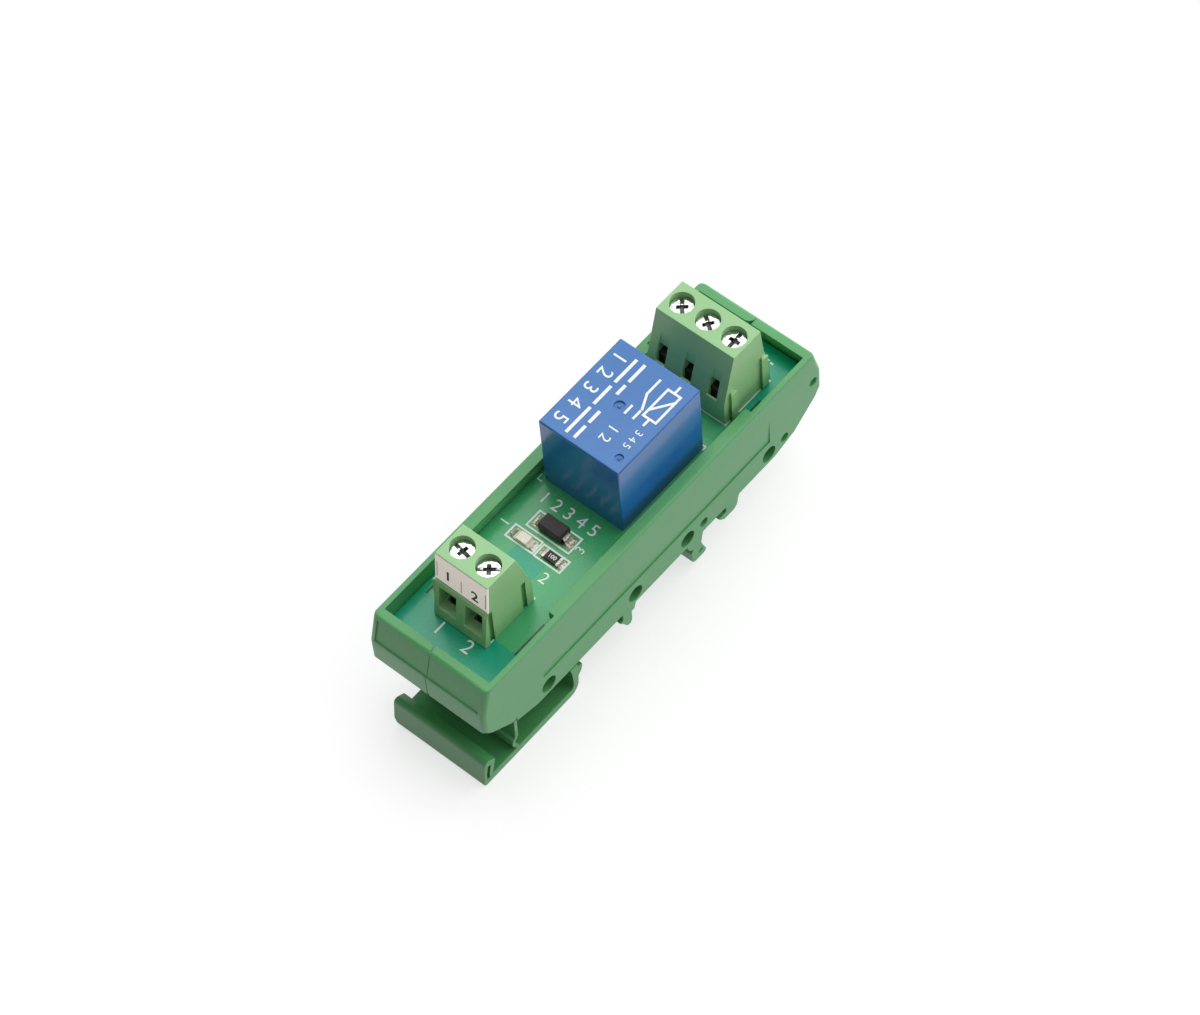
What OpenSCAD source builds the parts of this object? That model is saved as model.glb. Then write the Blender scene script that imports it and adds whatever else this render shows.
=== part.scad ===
// Relay module on a rail carrier: a two-part moulded carrier with a sprung
// rail latch holds a circuit board with one relay, two rising-clamp terminal
// blocks, a diode, a status lamp and a chip resistor. Millimetres, +Z up.
// The origin is under the middle of the footprint, level with the latch foot.

/* [Carrier] */
// Width across both halves
carrier_w = 22.5; // [22:0.5:26]
// Length between the ridges of the two end walls
carrier_len = 79.6; // [79:0.2:86]
// How far each end wall leans in from its ridge to the rim
rim_lean = 1.5; // [0.8:0.1:2]
// Height from the rail seat to the rim
carrier_h = 16.4; // [16:0.2:19]
// Depth of the end ridges below the rim
ridge_drop = 5.6; // [5:0.1:6.5]
// Depth of the foot of the straight end wall below the rim
bevel_drop = 10; // [9:0.5:11]
// Depth of the board's top face below the rim
board_drop = 3.5; // [3:0.1:4.2]
// Thickness of the side walls
side_wall = 1.05; // [0.9:0.05:1.4]
// Thickness of the end walls
end_wall = 1.7; // [1.4:0.1:2]
// Thickness of the floor
floor_wall = 1.2; // [1:0.1:1.5]
// Length of the flat rail seat on each side of the middle
seat_half = 28.2; // [27.6:0.2:29]
// Rounding of the upright corners at the side faces
corner_r = 0.9; // [0.6:0.1:1]
// Rounding of the side faces' long edges
edge_r = 0.4; // [0.2:0.1:0.6]
// Rounding of the left half's end walls where they meet the seam
seam_corner_r = 1.4; // [0.6:0.1:1.5]
// Half the width and the depth of the groove along the seam
seam_groove = 0.12; // [0.05:0.01:0.2]
// Radius of the through holes that pin carriers side by side
cross_bore_r = 1.5; // [1:0.1:1.6]
// Radius of the moulded pegs that join the halves
peg_r = 1; // [0.7:0.1:1.1]
// Length of the pegs
peg_len = 2.2; // [1.5:0.1:3]
// Radius of the dimples over the pegs
dimple_r = 0.85; // [0.6:0.05:1]

/* [Rail] */
// Width of the mounting rail
rail_w = 35; // [34:0.5:36]
// Thickness of the rail's flanges
rail_t = 1; // [0.8:0.1:1.2]
// Place of the rail's middle along the carrier
rail_y = -1.5; // [-2:0.1:-1]
// Height of the rail seat above the foot
seat_drop = 7.1; // [7:0.1:9]

/* [Latch] */
// Width of the latch
latch_w = 18.25; // [14:0.25:18.5]
// How far the latch's pull bar stands out past the end ridge
bar_reach = 1.5; // [1:0.1:3]
// Height of the pull bar
bar_h = 5.8; // [4:0.1:6]
// Thickness of the latch arm
arm_t = 1.5; // [1:0.1:1.8]
// How far the latch lip holds the rail's flange
latch_grip = 0.8; // [0.5:0.1:1]
// Travel of the latch
latch_travel = 2.5; // [1:0.1:2.5]
// Thickness of the spring leaf
leaf_t = 0.7; // [0.5:0.1:0.8]

/* [Circuit board] */
// Thickness of the board
board_t = 1.6; // [1:0.2:2]
// Place of the middle of the relay and both terminal blocks across the board
row_x = -0.5; // [-0.8:0.1:0]

/* [Relay] */
// Length of the relay
relay_l = 19.1; // [19:0.1:20]
// Width of the relay
relay_w = 15.5; // [15.4:0.1:16.5]
// Height of the relay
relay_h = 15.5; // [15.4:0.1:17]
// Thickness of the relay case
case_wall = 0.8; // [0.6:0.1:0.9]
// Place of the relay's middle along the board
relay_y = 6.7; // [6.4:0.1:7]
// Gap between the armature and the pole face when the relay is off
pole_gap = 0.5; // [0.48:0.02:0.6]

/* [Terminal blocks] */
// Distance between neighbouring terminals
pitch = 5.08; // [5:0.04:5.12]
// Height of a block
block_h = 14.5; // [14.3:0.1:16]
// Depth of a block at its base
block_d = 11; // [10.8:0.1:12]
// Terminals of the block at the latch end
input_poles = 2; // [1:1:3]
// Terminals of the block at the other end
output_poles = 3; // [1:1:3]
// Gap between the latch-end block and the end of the board
input_margin = 6.05; // [5:0.05:7]
// Gap between the other block and the end of the board
output_margin = 4.75; // [4:0.05:5]
// Distance of the screws from the back of a block
screw_s = 5.9; // [5.8:0.1:6]
// Radius of a screw head
head_r = 1.9; // [1.7:0.05:2]
// Height of a screw head
head_h = 2; // [1.8:0.1:2.1]
// Depth of a screw head below the top of its block
head_sink = 1.1; // [0.9:0.1:1.2]
// Width of the slot in a screw head
slot_w = 0.6; // [0.4:0.1:0.8]
// Radius of a screw shank
shank_r = 1.5; // [1.2:0.05:1.5]
// Height of the wire space under an open clamp's contact bar
wire_h = 3.1; // [2.6:0.1:3.1]
// Width of a wire opening
wire_w = 3.35; // [3:0.05:3.5]
// Travel of a clamp
clamp_travel = 2; // [1:0.1:2]

/* [Fits] */
// Radial clearance of turning and sliding parts
run_fit = 0.05; // [0.03:0.01:0.08]
// Clearance round parts that are set in place
seat_fit = 0.1; // [0.05:0.05:0.15]

/* [Hidden] */
$fn = 48;
// A little more, so that a cut runs clear of the face it starts from
e = 0.5;

// Heights
seat_z = seat_drop;
rim_z = seat_z + carrier_h;
ridge_z = rim_z - ridge_drop;
bevel_z = rim_z - bevel_drop;
board_z = rim_z - board_drop;
floor_z = seat_z + floor_wall;
under_z = board_z - board_t;

// Lengths
half_len = carrier_len / 2;
rim_half = half_len - rim_lean;
bar_front_y = -half_len - bar_reach;
mid_y = (half_len + bar_front_y) / 2;
wall_x = carrier_w / 2 - side_wall;

// The outline of the carrier seen from its side, counter-clockwise
end_points = [
  [seat_half, seat_z],
  [seat_half + 4.8, seat_z + 1.3],
  [half_len - 0.5, bevel_z - 0.7],
  [half_len, bevel_z],
  [half_len, ridge_z],
  [rim_half, rim_z]
];
last_end = len(end_points) - 1;
outline = concat(
  end_points,
  [for (i = [last_end:-1:0]) [-end_points[i].x, end_points[i].y]]
);
// Rounding along each edge of the outline, where it meets a side face
end_rounds = [edge_r, edge_r, corner_r, corner_r, corner_r];
outline_rounds = concat(
  end_rounds, [edge_r], [for (i = [4:-1:0]) end_rounds[i]], [edge_r]
);
// Wall behind each edge of the outline: floor, bevel, end wall, open top
open_top = -2;
end_walls = [floor_wall, floor_wall, end_wall, end_wall, end_wall];
outline_walls = concat(
  end_walls, [open_top], [for (i = [4:-1:0]) end_walls[i]], [floor_wall]
);

function left_normal(a, b) = [a.y - b.y, b.x - a.x] / norm(b - a);
function moved_corner(p, n0, n1, t0, t1) =
  let (c = n0 * n1) p + (n0 * (t0 - t1 * c) + n1 * (t1 - t0 * c)) / (1 - c * c);
// Every edge of a closed outline moved inwards by its own distance
function inset(p, t) = let (n = len(p)) [
  for (i = [0:n - 1])
    let (before = (i + n - 1) % n, after = (i + 1) % n)
      moved_corner(p[i], left_normal(p[before], p[i]),
        left_normal(p[i], p[after]), t[before], t[i])
];
function inset_all(p, t) = inset(p, [for (i = p) t]);
// How far a round edge draws in at a depth below the side face
function drawn_in(r, depth) = depth < r ? r - sqrt(r * r - (r - depth) * (r - depth)) : 0;
// The outline of a strip of even thickness round a bent middle line
function strip_side(p, t) = [
  for (i = [0:len(p) - 1])
    let (a = p[max(i - 1, 0)], b = p[min(i + 1, len(p) - 1)])
      p[i] + left_normal(a, b) * t / 2
];
function strip(p, t) = let (back = strip_side(p, -t), n = len(p)) concat(
  strip_side(p, t), [for (i = [n - 1:-1:0]) back[i]]
);
// An arc of a round corner, from one angle to another
function arc(c, r, from, to, steps = 6) = [
  for (i = [0:steps]) c + r * [cos(from + (to - from) * i / steps),
    sin(from + (to - from) * i / steps)]
];

// Board
wall_slope = rim_lean / ridge_drop;
board_half = rim_half - end_wall + board_drop * wall_slope - 0.3;
board_half_w = wall_x - seat_fit;

// Rail hooks
rail_back_y = rail_y + rail_w / 2;
rail_front_y = rail_y - rail_w / 2;
flange_z = seat_z - rail_t - seat_fit;
hook_w = 6;
leg_w = 3;

// Holes across the carrier, along its length and above the seat
cross_bores = [-25.6, -5.4, 7, 26.7];
cross_bore_z = seat_z + 2.4;
cross_boss_r = cross_bore_r + 0.5;
// Pegs: place along the carrier, height, and whether the side shows a dimple
pegs = [
  [10.9, cross_bore_z, true], [30.5, cross_bore_z + 0.2, true],
  [half_len - 2.1, ridge_z - 1.35, true],
  [-30.5, cross_bore_z + 0.2, false], [2.1 - half_len, ridge_z - 1.35, false]
];
peg_boss_r = 1.7;
dimple_deep = 1.4;

// Latch, flush with the right side face of the carrier
latch_right = carrier_w / 2;
latch_left = latch_right - latch_w;
lip_y = rail_front_y + latch_grip;
finger_back_y = rail_front_y - 0.2;
finger_front_y = finger_back_y - 1.7;
tongue_left = latch_left + 0.4;
tongue_right = wall_x - 0.4;
tongue_cap = 0.8;
leaf_y = -half_len + 6.4;
leaf_top = seat_z + 2.1;
// Bends of the leaf, as distance in front of its root and below the seat
leaf_bends = [[0.05, 0.4], [0.1, 2.2], [0.35, 2.8], [0.75, 3.1], [0.9, 3.6], [0.7, 4.4]];

// Relay, from the middle of its foot
relay_in_w = relay_w / 2 - case_wall;
relay_in_l = relay_l / 2 - case_wall;
relay_pin_reach = 3.2;
base_gap = 0.3;
base_top = 1.9;
yoke_t = 1.4;
yoke_w = 9;
yoke_foot = 2.6;
armature_w = 8.4;
armature_reach = 3.7;
pole_r = 3;
contact_leaf_w = 4.4;
coil_pin_up = 1.2;
yoke_y = -relay_in_l + 0.5;
hinge_y = yoke_y + yoke_t;
armature_t = 0.9;
relay_in_h = relay_h - case_wall;
spring_top = relay_in_h - 1.4;
spring_t = 0.2;
armature_z = spring_top - spring_t - armature_t;
yoke_top = armature_z - run_fit;
pole_z = armature_z - pole_gap;
core_y = hinge_y + 4.3;
core_r = 1.7;
bobbin_half = 4;
contact_y = hinge_y + 13.2;
contact_r = 0.8;
contact_pin_y = relay_in_l - 0.6;
contact_pin_x = 6;
coil_pin_y = contact_pin_y - 12.2;
common_pin_y = coil_pin_y - 2;
pin_w = 1;
pin_t = 0.6;
moving_low = armature_z + 0.3;
upper_contact_z = spring_top + 0.5 + 0.03;
lower_contact_z = moving_low - 0.83;

// Terminal blocks, from the middle of the foot of their back face
block_top_back = 2.8;
block_top_front = 9.05;
ledge_z = 8.3;
ledge_s = 9.7;
back_step_z = 5;
head_z = block_h - head_sink - head_h;
shoulder_t = 1.6;
slot_deep = 0.8;
cross_deep = 1.2;
// How far each screw has been turned, from the left in each block
input_turns = [38, -9];
output_turns = [-50, -36, -88];
clamp_roof = 1.5;
clamp_w = pitch - 1.08;
clamp_d = 4.2;
clamp_floor = 0.7;
bar_t = 0.7;
bar_w = 2.6;
bar_z = head_z - shoulder_t - seat_fit - clamp_travel - clamp_roof - seat_fit - bar_t;
bar_back = 1.2;
bar_front = screw_s + 3;
clamp_roof_z = bar_z + bar_t + seat_fit;
clamp_floor_z = bar_z - wire_h;
pin_reach = 3.2;
label_t = 0.3;
// Dovetails that join blocks side by side: distance from the back, and height
dovetails = [[1.95, 6.8], [9.3, 7.8]];
dovetail_out = 0.5;
dovetail_neck = 0.7;
dovetail_w = 1.5;
input_back_y = -board_half + input_margin + block_d;
output_back_y = board_half - output_margin - block_d;

// Small parts: place of the middle on the board
diode_at = [-0.75, -9.3];
diode_size = [4.4, 2.5, 2.1];
lamp_at = [-3.4, -13.2];
resistor_at = [2.1, -13.1];
chip_size = [3.2, 1.6, 0.6];
lead_t = 0.2;
diode_fillet_w = 1.5;
chip_fillet_w = 1.3;

// Cross ribs under the board, half way between the relay's pins and each block's tails
tail_s = bar_back + bar_t / 2;
rib_places = [
  (relay_y + common_pin_y + input_back_y - tail_s) / 2,
  (relay_y + contact_pin_y + output_back_y + tail_s) / 2
];

function pole_x(i, n) = (i - (n + 1) / 2) * pitch;

// Everything is drawn from the middle of the carrier and moved to the frame
module placed() {
  translate([0, -mid_y, 0]) children();
}

// A side-view outline drawn as length and height, drawn out across the part
module across(x0, x1) {
  translate([x0, 0, 0]) rotate([90, 0, 90]) linear_extrude(x1 - x0) children();
}

// An end-view outline drawn as width and height, drawn out along the part
module along(y0, y1) {
  translate([0, y1, 0]) rotate([90, 0, 0]) linear_extrude(y1 - y0) children();
}

module cross_cylinder(y, z, r, x0, x1) {
  translate([x0, y, z]) rotate([0, 90, 0]) cylinder(r = r, h = x1 - x0);
}

// Half of the carrier's outer form, from the seam at x = 0
module half_shell() {
  across(seam_groove, carrier_w / 2 - corner_r) polygon(outline);
  across(0, seam_groove) polygon(inset_all(outline, seam_groove));
  hull() for (share = [0, 0.05, 0.15, 0.3, 0.55, 1]) {
    depth = share * corner_r;
    across(carrier_w / 2 - depth - 0.01, carrier_w / 2 - depth) {
      polygon(inset(outline, [for (r = outline_rounds) drawn_in(r, depth)]));
    }
  }
}

// What the left half's end wall loses at its inner corner, along its lean
module seam_corner_cut() {
  r = seam_corner_r;
  low = board_drop + board_t / 2;
  lean = atan(wall_slope);
  translate([0, rim_half - end_wall / cos(lean), rim_z]) rotate([lean, 0, 0]) {
    translate([0, 0, -low]) linear_extrude(low + e) difference() {
      translate([-e, -e]) square(r + e);
      translate([r, r]) circle(r = r);
    }
  }
}

// The lip over the board's edge, level with the rim, its foot just clear of the board
module board_lip() {
  along(-22, 24) polygon([
    [wall_x + side_wall / 2, rim_z], [wall_x - 1.1, rim_z], [wall_x - 1.1, rim_z - 1.2],
    [wall_x - 0.7, board_z + 0.7], [wall_x - 0.7, board_z + 0.15],
    [wall_x + side_wall / 2, board_z + 0.15]
  ]);
}

// Fixed hook that takes the rail's back flange
module fixed_hook() {
  across(carrier_w / 2 - hook_w, carrier_w / 2) polygon(concat(
    [[rail_back_y + seat_fit, seat_z + e], [rail_back_y + seat_fit, flange_z],
      [rail_back_y - 1.7, flange_z], [rail_back_y - 1.2, flange_z - 0.7],
      [rail_back_y - 0.4, flange_z - 1.4]],
    arc([rail_back_y + 1.5, flange_z], 1.5, 270, 360),
    [[rail_back_y + 3.2, seat_z], [rail_back_y + 3.2, seat_z + e]]
  ));
}

// Leg that stands inside the rail's channel, notched at its root, with a
// shallow moulding pocket near its heel
module channel_leg() {
  x1 = carrier_w / 2;
  foot_z = seat_z - 5.7;
  leg_y = rail_back_y - 8.6;
  difference() {
    across(x1 - leg_w, x1) polygon(concat(
      [[leg_y - 0.7, seat_z + e], [leg_y - 0.7, seat_z], [leg_y, seat_z - 1.6],
        [leg_y + 0.7, seat_z - 2], [leg_y + 0.2, seat_z - 2.8], [leg_y + 0.3, seat_z - 4.4]],
      arc([leg_y + 1.3, foot_z + 1], 1, 190, 270, 4),
      arc([leg_y + 3.1, foot_z + 0.6], 0.6, 270, 380, 5),
      [[leg_y + 3.1, seat_z - 3.5], [leg_y + 2.7, seat_z - 2.1], [leg_y + 2.9, seat_z - 1.3],
        [leg_y + 3.1, seat_z], [leg_y + 3.1, seat_z + e]]
    ));
    translate([x1 - 0.4, leg_y + 2.1, foot_z + 1.2]) rotate([25, 0, 0]) cube([1, 0.9, 0.45]);
  }
}

// Small hook with a notch that faces the latch
module small_hook() {
  x1 = carrier_w / 2;
  across(x1 - leg_w, x1) polygon([
    [-5.6, seat_z + e], [-5.6, seat_z], [-5.8, seat_z - 1.1], [-6.5, seat_z - 1.2],
    [-6.5, seat_z - 3.4], [-7, seat_z - 4.1], [-7.8, seat_z - 3.8],
    [-8.7, seat_z - 2.2], [-9.3, seat_z - 1.5], [-8.6, seat_z - 1.4], [-8.6, seat_z + e]
  ]);
}

// One half, drawn as the right one; the opening for the latch runs to reach
module carrier_half(reach, has_pegs) {
  inner = inset(outline, outline_walls);
  difference() {
    union() {
      difference() {
        half_shell();
        across(-e, wall_x) polygon(inner);
      }
      board_lip();
      intersection() {
        across(0, carrier_w / 2 - side_wall / 2) polygon(inset_all(outline, end_wall / 2));
        union() {
          // Ledge and cross ribs under the board
          translate([wall_x - 0.9, -half_len, under_z - 1.2]) cube([1.2, carrier_len, 1.2]);
          for (y = rib_places) {
            translate([0, y - 0.5, seat_z]) cube([carrier_w / 2, 1, under_z - seat_z]);
          }
          for (y = cross_bores) {
            cross_cylinder(y, cross_bore_z, cross_boss_r, 0, carrier_w / 2);
          }
          for (p = pegs) {
            cross_cylinder(p[0], p[1], peg_boss_r, 0, carrier_w / 2);
          }
        }
      }
      if (has_pegs) {
        for (p = pegs) cross_cylinder(p[0], p[1], peg_r, -peg_len, e);
      }
      fixed_hook();
      channel_leg();
      small_hook();
    }
    for (y = cross_bores) {
      cross_cylinder(y, cross_bore_z, cross_bore_r, -e, carrier_w / 2 + e);
    }
    for (p = pegs) {
      if (p[2]) cross_cylinder(p[0], p[1], dimple_r, carrier_w / 2 - dimple_deep, carrier_w / 2 + e);
      if (!has_pegs) cross_cylinder(p[0], p[1], peg_r + run_fit, -e, peg_len + 0.2);
    }
    // Shallow panel on the side face, deepest at its foot
    along(-26.5, 27) polygon([
      [carrier_w / 2 + e, bevel_z - 0.9], [carrier_w / 2 - 0.2, bevel_z - 0.9],
      [carrier_w / 2, ridge_z + 0.7], [carrier_w / 2 + e, ridge_z + 0.7]
    ]);
    // Shallow panel on each leaning end wall
    for (m = [0, 1]) mirror([0, m, 0]) {
      if (!has_pegs) seam_corner_cut();
      across(-e, carrier_w / 2 - corner_r - 0.2) polygon([
        [rim_half + 0.8 * wall_slope - 0.2, rim_z - 0.8],
        [half_len - 0.4 * wall_slope - 0.2, ridge_z + 0.4],
        [half_len + e, ridge_z + 0.4], [half_len + e, rim_z - 0.8]
      ]);
    }
    // Opening in the floor for the latch's tongue, and the groove for its leaf
    translate([-e, finger_front_y - latch_travel - seat_fit, seat_z - e]) {
      cube([reach + e, 1.7 + latch_travel + 2 * seat_fit, floor_wall + 2 * e]);
    }
    translate([-e, leaf_y - leaf_t / 2 - seat_fit, seat_z - e]) {
      cube([reach + 1.5 + e, leaf_t + 2 * seat_fit, leaf_top + seat_fit - seat_z + e]);
    }
  }
}

module carrier_half_right() {
  color("mediumseagreen") placed() carrier_half(tongue_right + seat_fit, true);
}

module carrier_half_left() {
  color("mediumseagreen") placed() mirror([1, 0, 0]) {
    carrier_half(seat_fit - tongue_left, false);
  }
}

// Sliding latch: pull bar, arm, finger with the rail lip, and a capped tongue
module rail_latch() {
  top_y = bar_front_y + 0.3;
  arm_y = bar_front_y + 2;
  color("seagreen") placed() difference() {
    union() {
      across(latch_left, latch_right) polygon(concat(
        [[bar_front_y, 0.4], [bar_front_y + 0.4, 0]],
        [[finger_front_y - 1.2, 0]],
        arc([finger_front_y - 0.6, 2.2], 2.2, 280, 350, 5),
        [[finger_back_y, 3.6], [lip_y - 0.3, 4.4], [lip_y, 5.2], [lip_y, flange_z],
          [finger_back_y, flange_z], [finger_back_y, seat_z - 0.15],
          [finger_front_y, seat_z - 0.15], [finger_front_y + 0.35, 5.2],
          [finger_front_y + 0.45, 3.2]],
        arc([finger_front_y - 0.5, arm_t + 0.9], 0.9, 10, -90, 5),
        [[arm_y, arm_t], [arm_y + 0.9, bar_h - 0.9]],
        arc([top_y + 0.9, bar_h - 0.7], 0.7, 60, 180, 5)
      ));
      across(tongue_left, tongue_right) polygon([
        [finger_front_y, seat_z - 0.2], [finger_back_y, seat_z - 0.2],
        [finger_back_y, floor_z + seat_fit], [finger_back_y + 1.3, floor_z + seat_fit],
        [finger_back_y + 1.3, floor_z + seat_fit + tongue_cap],
        [finger_front_y, floor_z + seat_fit + tongue_cap]
      ]);
    }
    // Pocket in the end of the pull bar
    across(latch_right - 2.5, latch_right + e) polygon(strip([
      [bar_front_y + 1, 1.1], [bar_front_y + 1.05, 2.4], [bar_front_y + 1.5, bar_h - 1.4]
    ], 0.6));
    along(bar_front_y - e, arm_y + 1.5) polygon([
      [latch_left - e, -e], [latch_left + 0.7, -e], [latch_left + 0.7, 0],
      [latch_left, 1.3], [latch_left - e, 1.3]
    ]);
  }
}

// Bent leaf between the carrier's floor and the latch arm
module latch_spring() {
  color("seagreen") placed() across(latch_left + 0.2, latch_right) {
    polygon(strip(concat(
      [[leaf_y, leaf_top]],
      [for (b = leaf_bends) [leaf_y - b.x, seat_z - b.y]],
      [[leaf_y - 0.3, arm_t + 0.6], [leaf_y - 0.2, arm_t + 0.3], [leaf_y - 0.2, arm_t]]
    ), leaf_t));
  }
}

module on_board(p = [0, 0]) {
  placed() translate([p.x, p.y, board_z]) children();
}

module in_relay_place() {
  on_board([row_x, relay_y]) children();
}

module in_input_place() {
  on_board([row_x, input_back_y]) rotate([0, 0, 180]) children();
}

module in_output_place() {
  on_board([row_x, output_back_y]) children();
}

// The middles of the relay's five pins
relay_pins = [
  [-contact_pin_x, contact_pin_y], [contact_pin_x, contact_pin_y],
  [-contact_pin_x, coil_pin_y], [contact_pin_x, coil_pin_y], [0, common_pin_y]
];

module pin_post(p, low, high, grow = 0) {
  translate([p.x - pin_w / 2 - grow, p.y - pin_t / 2 - grow, low]) {
    cube([pin_w + 2 * grow, pin_t + 2 * grow, high - low]);
  }
}

// The tails of a block's contact bars
module block_tails(poles, grow = 0) {
  for (i = [1:poles]) {
    pin_post([pole_x(i, poles), tail_s], -pin_reach, e, grow);
  }
}

module circuit_board() {
  color("mediumseagreen") difference() {
    placed() translate([-board_half_w, -board_half, under_z]) {
      cube([2 * board_half_w, 2 * board_half, board_t]);
    }
    in_relay_place() {
      for (p = relay_pins) translate([p.x, p.y, -board_t - e]) cylinder(r = 0.75, h = board_t + 2 * e);
    }
    in_input_place() board_holes(input_poles);
    in_output_place() board_holes(output_poles);
  }
}

module board_holes(poles) {
  for (i = [1:poles]) {
    translate([pole_x(i, poles), tail_s, -board_t - e]) {
      cylinder(r = 0.75, h = board_t + 2 * e);
    }
  }
}

// Cones of solder round the tails under the board, fillets at the small parts
module solder_joints() {
  color("silver") {
    in_relay_place() difference() {
      for (p = relay_pins) translate([p.x, p.y, 0]) solder_cone();
      for (p = relay_pins) pin_post(p, -relay_pin_reach - e, e);
    }
    in_input_place() block_cones(input_poles);
    in_output_place() block_cones(output_poles);
    on_board(diode_at) end_fillets(diode_size.x + 2 * lead_t + 0.6, diode_fillet_w, 0.5);
    on_board(lamp_at) end_fillets(chip_size.x, chip_fillet_w, 0.35);
    on_board(resistor_at) end_fillets(chip_size.x, chip_fillet_w, 0.4);
  }
}

module solder_cone() {
  translate([0, 0, -board_t - 1.3]) cylinder(r1 = 0.65, r2 = 1.15, h = 1.3, $fn = 32);
}

module block_cones(poles) {
  difference() {
    for (i = [1:poles]) {
      translate([pole_x(i, poles), tail_s, 0]) solder_cone();
    }
    block_tails(poles);
  }
}

module end_fillets(length, width, height) {
  for (m = [0, 1]) mirror([m, 0, 0]) {
    along(-width / 2, width / 2) polygon([
      [length / 2, 0], [length / 2 + 0.7, 0], [length / 2 + 0.25, height * 0.4],
      [length / 2, height]
    ]);
  }
}

// Open box of the relay, with its edges rounded and a dimple in its top
module relay_case() {
  r = 0.3;
  color("royalblue") in_relay_place() difference() {
    intersection() {
      linear_extrude(relay_h) rounded_rect(relay_w, relay_l, r);
      along(-relay_l, relay_l) top_rounded(relay_w, relay_h, r);
      across(-relay_w, relay_w) top_rounded(relay_l, relay_h, r);
    }
    translate([-relay_in_w, -relay_in_l, -e]) {
      cube([2 * relay_in_w, 2 * relay_in_l, relay_in_h + e]);
    }
    translate([0, 0, relay_h]) ring_dimple(0.9);
    translate([relay_w / 2 - 1.8, 2.4 - relay_l / 2, relay_h]) ring_dimple(0.7);
  }
}

// Round dimple in the top of the case, with a low boss in its middle
module ring_dimple(r) {
  translate([0, 0, -0.35]) difference() {
    cylinder(r = r, h = 0.35 + e);
    translate([0, 0, -e]) cylinder(r = r / 3, h = e + 0.2);
  }
}

module rounded_rect(w, l, r) {
  square([w - 2 * r, l], center = true);
  square([w, l - 2 * r], center = true);
  for (x = [-1, 1], y = [-1, 1]) {
    translate([x * (w / 2 - r), y * (l / 2 - r)]) circle(r = r);
  }
}

module top_rounded(w, h, r) {
  polygon(concat(
    [[-w / 2, 0], [w / 2, 0]],
    arc([w / 2 - r, h - r], r, 0, 90, 5),
    arc([r - w / 2, h - r], r, 90, 180, 5)
  ));
}

module relay_base() {
  x = relay_in_w - run_fit;
  y = relay_in_l - run_fit;
  color("dimgray") in_relay_place() difference() {
    translate([-x, -y, base_gap]) cube([2 * x, 2 * y, base_top - base_gap]);
    for (p = relay_pins) pin_post(p, base_gap - e, base_top + e, run_fit);
  }
}

// Coil former, with a lug under each coil pin
module relay_bobbin() {
  low = base_top + yoke_t;
  high = pole_z - 0.7;
  color("ivory") in_relay_place() difference() {
    union() {
      for (z = [low, high - 0.7]) {
        translate([-4.4, core_y - bobbin_half, z]) cube([8.8, 2 * bobbin_half, 0.7]);
      }
      translate([-contact_pin_x - 0.9, coil_pin_y - 0.8, low]) {
        cube([2 * contact_pin_x + 1.8, 1.6, 0.7]);
      }
      translate([0, core_y, low]) cylinder(r = core_r + 0.6, h = high - low);
    }
    translate([0, core_y, low - e]) cylinder(r = core_r + run_fit, h = high - low + 2 * e);
    for (p = relay_pins) pin_post(p, low - e, low + 1.5, run_fit);
  }
}

module relay_winding() {
  low = base_top + yoke_t + 0.7;
  high = pole_z - 1.4;
  color("peru") in_relay_place() difference() {
    translate([0, core_y, low]) cylinder(r = bobbin_half - 0.15, h = high - low);
    translate([0, core_y, low - e]) cylinder(r = core_r + 0.6, h = high - low + 2 * e);
  }
}

module relay_core() {
  color("lightgray") in_relay_place() translate([0, core_y, 0]) {
    translate([0, 0, base_top + yoke_t]) cylinder(r = core_r, h = pole_z - base_top - yoke_t);
    translate([0, 0, pole_z - 0.65]) cylinder(r = pole_r, h = 0.65);
  }
}

// Angle of soft iron with the common pin riveted in its foot
module relay_yoke() {
  color("gainsboro") in_relay_place() {
    across(-yoke_w / 2, yoke_w / 2) polygon([
      [yoke_y, base_top], [core_y + yoke_foot, base_top], [core_y + yoke_foot, base_top + yoke_t],
      [hinge_y, base_top + yoke_t], [hinge_y, yoke_top], [yoke_y, yoke_top]
    ]);
    pin_post([0, common_pin_y], -relay_pin_reach, base_top + 0.1);
  }
}

module relay_armature() {
  color("gainsboro") in_relay_place() {
    translate([-armature_w / 2, yoke_y + 0.2, armature_z]) {
      cube([armature_w, core_y + armature_reach - yoke_y, armature_t]);
    }
  }
}

// Leaf on the armature, with the moving contact's rivet near its tip
module relay_contact_spring() {
  color("goldenrod") in_relay_place() {
    translate([-contact_leaf_w / 2, hinge_y + 0.8, spring_top - spring_t]) {
      cube([contact_leaf_w, contact_y + 0.9 - hinge_y - 0.8, spring_t]);
    }
    translate([0, contact_y, moving_low]) cylinder(r = contact_r, h = spring_top + 0.5 - moving_low);
  }
}

// Fixed contact: an arm over or under the moving one, on its own pin
module fixed_contact(side, arm_z, face_z) {
  plate_t = 0.4;
  root_z = arm_z + 0.1;
  x0 = side > 0 ? -contact_r - 0.2 : -contact_pin_x - pin_w / 2;
  arm_w = contact_pin_x + pin_w / 2 + contact_r + 0.2;
  in_relay_place() {
    translate([x0, contact_y - 0.9, arm_z]) {
      cube([arm_w, contact_pin_y + pin_t / 2 - contact_y + 0.9, plate_t]);
    }
    pin_post([side * contact_pin_x, contact_pin_y], -relay_pin_reach, arm_z + plate_t);
    translate([0, contact_y, min(root_z, face_z)]) {
      cylinder(r = contact_r, h = abs(root_z - face_z));
    }
  }
}

module relay_upper_contact() {
  color("gold") fixed_contact(1, upper_contact_z + 0.2, upper_contact_z);
}

module relay_lower_contact() {
  color("gold") fixed_contact(-1, lower_contact_z - 0.7, lower_contact_z);
}

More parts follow.
